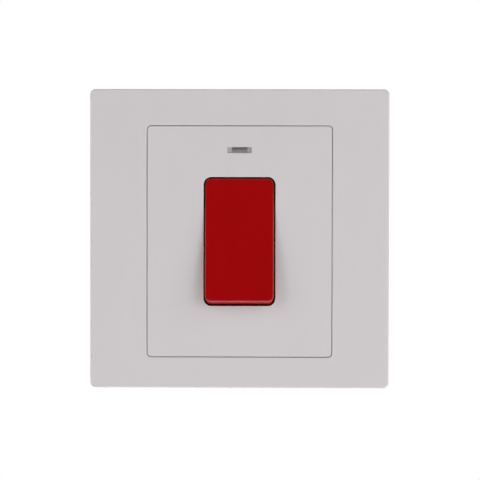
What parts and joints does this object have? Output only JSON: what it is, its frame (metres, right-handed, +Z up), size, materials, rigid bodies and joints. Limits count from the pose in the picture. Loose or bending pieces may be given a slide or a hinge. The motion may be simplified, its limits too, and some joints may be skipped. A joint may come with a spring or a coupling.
{
  "type": "double pole switch",
  "caption": "Square wall plate with a red rocker and an indicator window; pressing the rocker joins or parts both poles of the supply.",
  "frame": {"origin": "midway between the two wall fixing holes, on the wall plane", "axes": "+X to the right seen from the front, +Y into the wall, +Z up"},
  "size_m": [0.086, 0.0374, 0.086],
  "materials": {
    "white_plastic": "gloss moulded urea",
    "red_plastic": "gloss moulded polycarbonate",
    "clear_plastic": "clear moulded window",
    "lamp_glass": "clear glass over dark electrodes",
    "resistor_coat": "dipped lacquer",
    "housing_plastic": "satin moulding",
    "plunger_nylon": "natural nylon",
    "brass": "milled",
    "contact_silver": "satin silver",
    "zinc_steel": "zinc plated"
  },
  "bodies": {
    "base": {"cover_frame": "white_plastic", "front_plate": "white_plastic", "neon_lens": "clear_plastic", "neon_lamp": "lamp_glass", "lamp_cover": "housing_plastic", "neon_resistor": "resistor_coat", "neon_leads": "zinc_steel", "rear_housing": "housing_plastic", "housing_screws": "zinc_steel", "terminal_screws": "brass", "line_supply_terminal": "brass", "line_load_terminal": "brass", "line_fixed_contact": "contact_silver", "neutral_supply_terminal": "brass", "neutral_load_terminal": "brass", "neutral_fixed_contact": "contact_silver"},
    "rocker": {"rocker": "red_plastic", "line_spring": "zinc_steel", "neutral_spring": "zinc_steel"},
    "line_plunger": {"line_plunger": "plunger_nylon"},
    "neutral_plunger": {"neutral_plunger": "plunger_nylon"},
    "line_contact_arm": {"line_contact_arm": "brass", "line_moving_contact": "contact_silver"},
    "neutral_contact_arm": {"neutral_contact_arm": "brass", "neutral_moving_contact": "contact_silver"}
  },
  "joints": [
    {"name": "rocker_tilt", "type": "hinge", "parent": "base", "child": "rocker", "pos_m": [0, -0.0045, -0.0008], "axis": [1, 0, 0], "range_deg": [0, 12]},
    {"name": "line_plunger_slide", "type": "slide", "parent": "rocker", "child": "line_plunger", "axis": [0, -0.9945, 0.1045], "range_m": [0, 0.003], "stiffness_N_per_m": 500, "deforming": ["line_spring"]},
    {"name": "neutral_plunger_slide", "type": "slide", "parent": "rocker", "child": "neutral_plunger", "axis": [0, -0.9945, 0.1045], "range_m": [0, 0.003], "stiffness_N_per_m": 500, "deforming": ["neutral_spring"]},
    {"name": "line_contact_pivot", "type": "hinge", "parent": "base", "child": "line_contact_arm", "pos_m": [-0.005, 0.00978, -0.0008], "axis": [1, 0, 0], "range_deg": [-16, 0]},
    {"name": "neutral_contact_pivot", "type": "hinge", "parent": "base", "child": "neutral_contact_arm", "pos_m": [0.005, 0.00978, -0.0008], "axis": [1, 0, 0], "range_deg": [-16, 0]}
  ],
  "couplings": [
    {"joint": "line_contact_pivot", "follows": "rocker_tilt", "ratio": -1.3333},
    {"joint": "neutral_contact_pivot", "follows": "rocker_tilt", "ratio": -1.3333}
  ]
}
